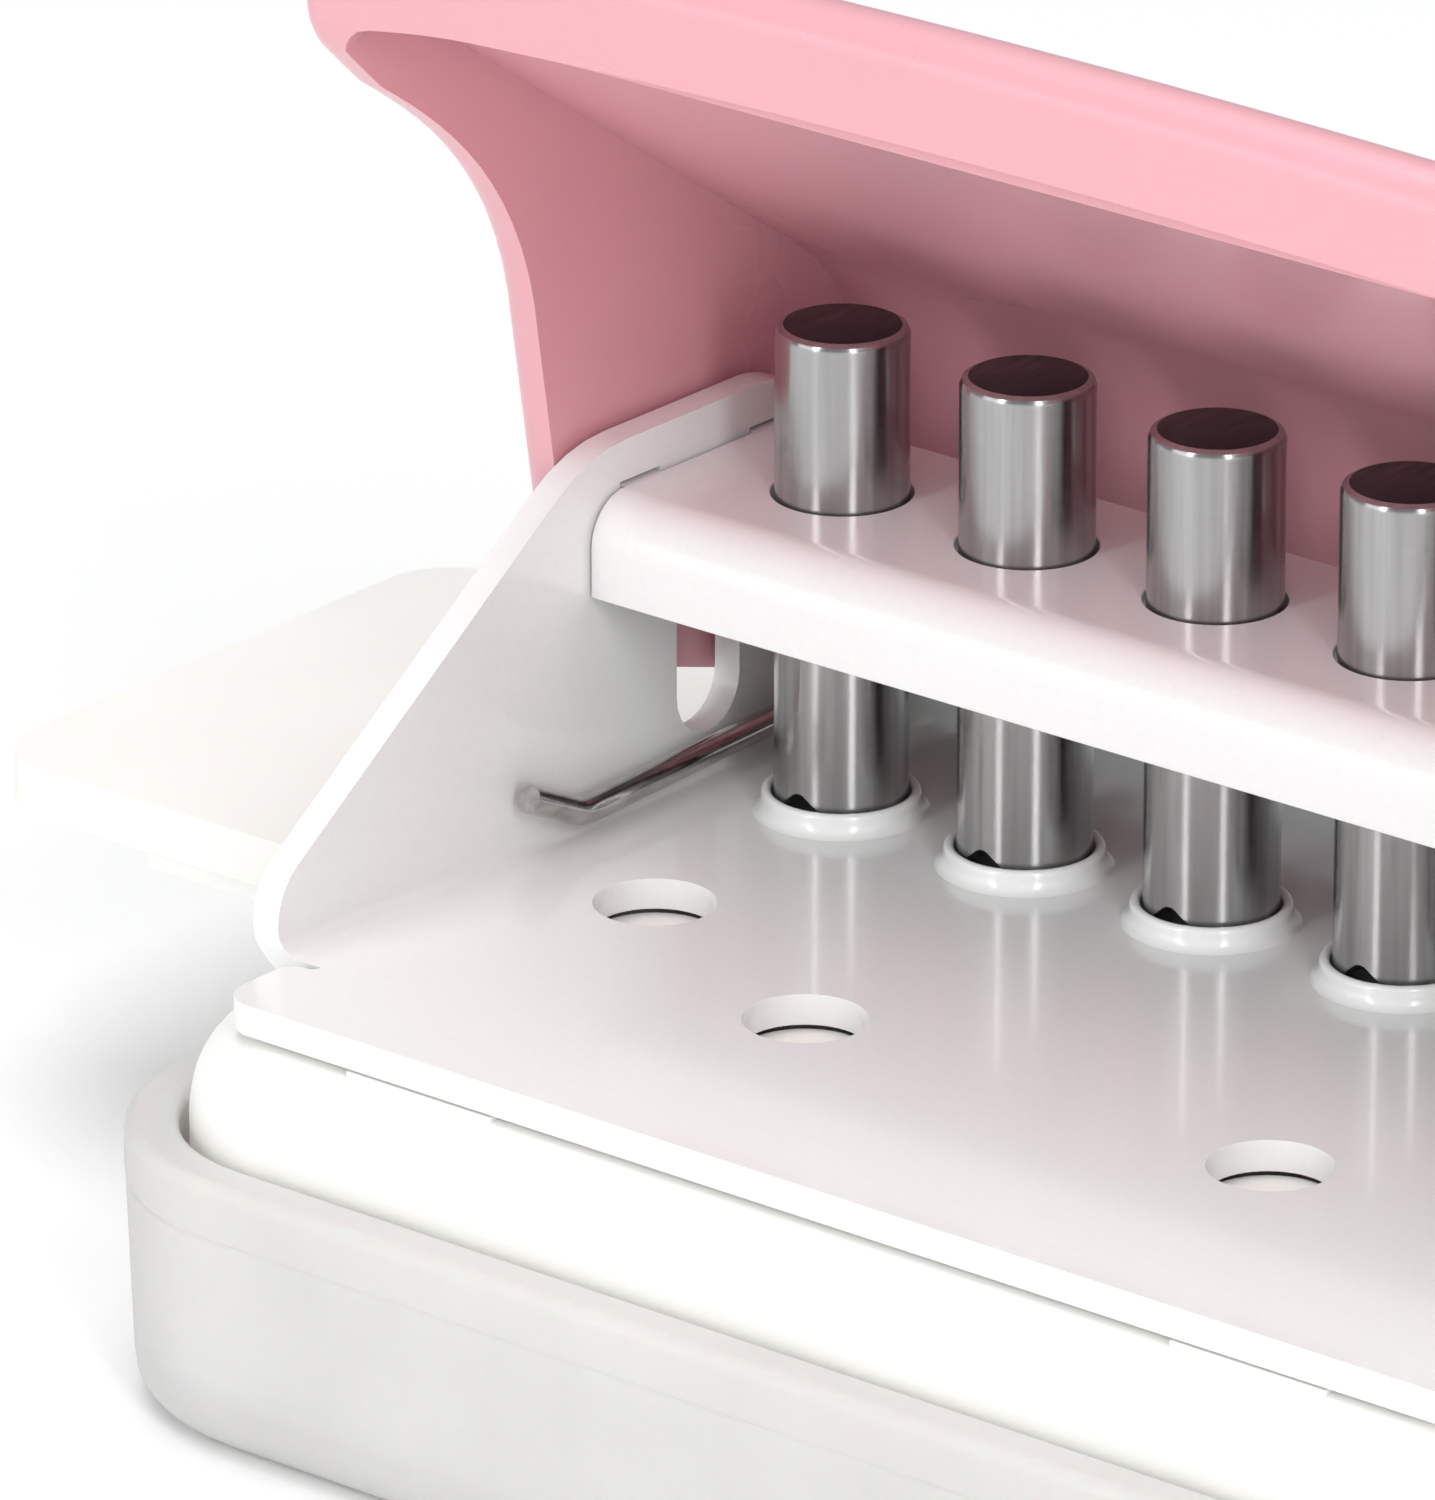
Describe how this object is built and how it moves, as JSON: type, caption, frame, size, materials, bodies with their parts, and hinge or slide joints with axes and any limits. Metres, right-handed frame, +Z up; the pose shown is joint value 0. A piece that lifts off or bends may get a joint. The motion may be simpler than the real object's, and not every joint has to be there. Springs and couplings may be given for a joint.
{
  "type": "paper punch",
  "caption": "Loose-leaf paper punch: a row of steel pins in a white sheet-metal frame, a wide pink press handle, a white base and a pull-off chip tray.",
  "frame": {"origin": "centre of the chip tray's flat underside, level with the row of pins", "axes": "+X along the row of pins, +Z up, -Y the side where the handle is pressed"},
  "size_m": [0.0966, 0.0584, 0.0607],
  "materials": {
    "coated_steel": "glossy white powder coat",
    "ground_steel": "ground along the pin",
    "plated_steel": "zinc plated",
    "spring_steel": "drawn spring wire",
    "handle_plastic": "glossy pink moulding",
    "base_plastic": "satin white moulding",
    "tray_plastic": "smoky translucent moulding"
  },
  "bodies": {
    "stand": {"base": "base_plastic", "u_frame": "coated_steel", "guide_bar": "coated_steel", "pivot_axle": "plated_steel", "axle_clip_left": "plated_steel", "axle_clip_right": "plated_steel", "return_spring_left": "spring_steel", "return_spring_right": "spring_steel", "die_plate": "plated_steel", "paper_stop": "plated_steel", "stud_nut_front_left": "plated_steel", "stud_nut_front_right": "plated_steel", "stud_nut_rear_left": "plated_steel", "stud_nut_rear_right": "plated_steel"},
    "press_handle": {"handle": "handle_plastic"},
    "pin_row": {"punch_pin_1": "ground_steel", "punch_pin_2": "ground_steel", "punch_pin_3": "ground_steel", "punch_pin_4": "ground_steel", "punch_pin_5": "ground_steel", "punch_pin_6": "ground_steel", "lift_rod": "plated_steel"},
    "spring_arms": {"spring_arm_left": "spring_steel", "spring_arm_right": "spring_steel"},
    "guide": {"paper_guide": "base_plastic"},
    "tray": {"chip_tray": "tray_plastic"}
  },
  "joints": [
    {"name": "handle_press", "type": "hinge", "parent": "stand", "child": "press_handle", "pos_m": [0, 0.0115, 0.0223], "axis": [1, 0, 0], "range_deg": [0, 25], "stiffness_Nm_per_rad": 0.1, "springref_deg": -22.92},
    {"name": "pins_down", "type": "slide", "parent": "stand", "child": "pin_row", "axis": [0, 0, -1], "range_m": [0, 0.0039]},
    {"name": "spring_arms_wind", "type": "hinge", "parent": "stand", "child": "spring_arms", "pos_m": [0, 0.0115, 0.0223], "axis": [1, 0, 0], "range_deg": [0, 20]},
    {"name": "guide_slide", "type": "slide", "parent": "stand", "child": "guide", "axis": [-1, 0, 0], "range_m": [0, 0.013]},
    {"name": "tray_pull", "type": "slide", "parent": "stand", "child": "tray", "axis": [0, 0, -1], "range_m": [0, 0.02]}
  ],
  "couplings": [
    {"joint": "pins_down", "follows": "handle_press", "m_per_rad": 0.00889},
    {"joint": "spring_arms_wind", "follows": "handle_press", "ratio": 0.777}
  ]
}
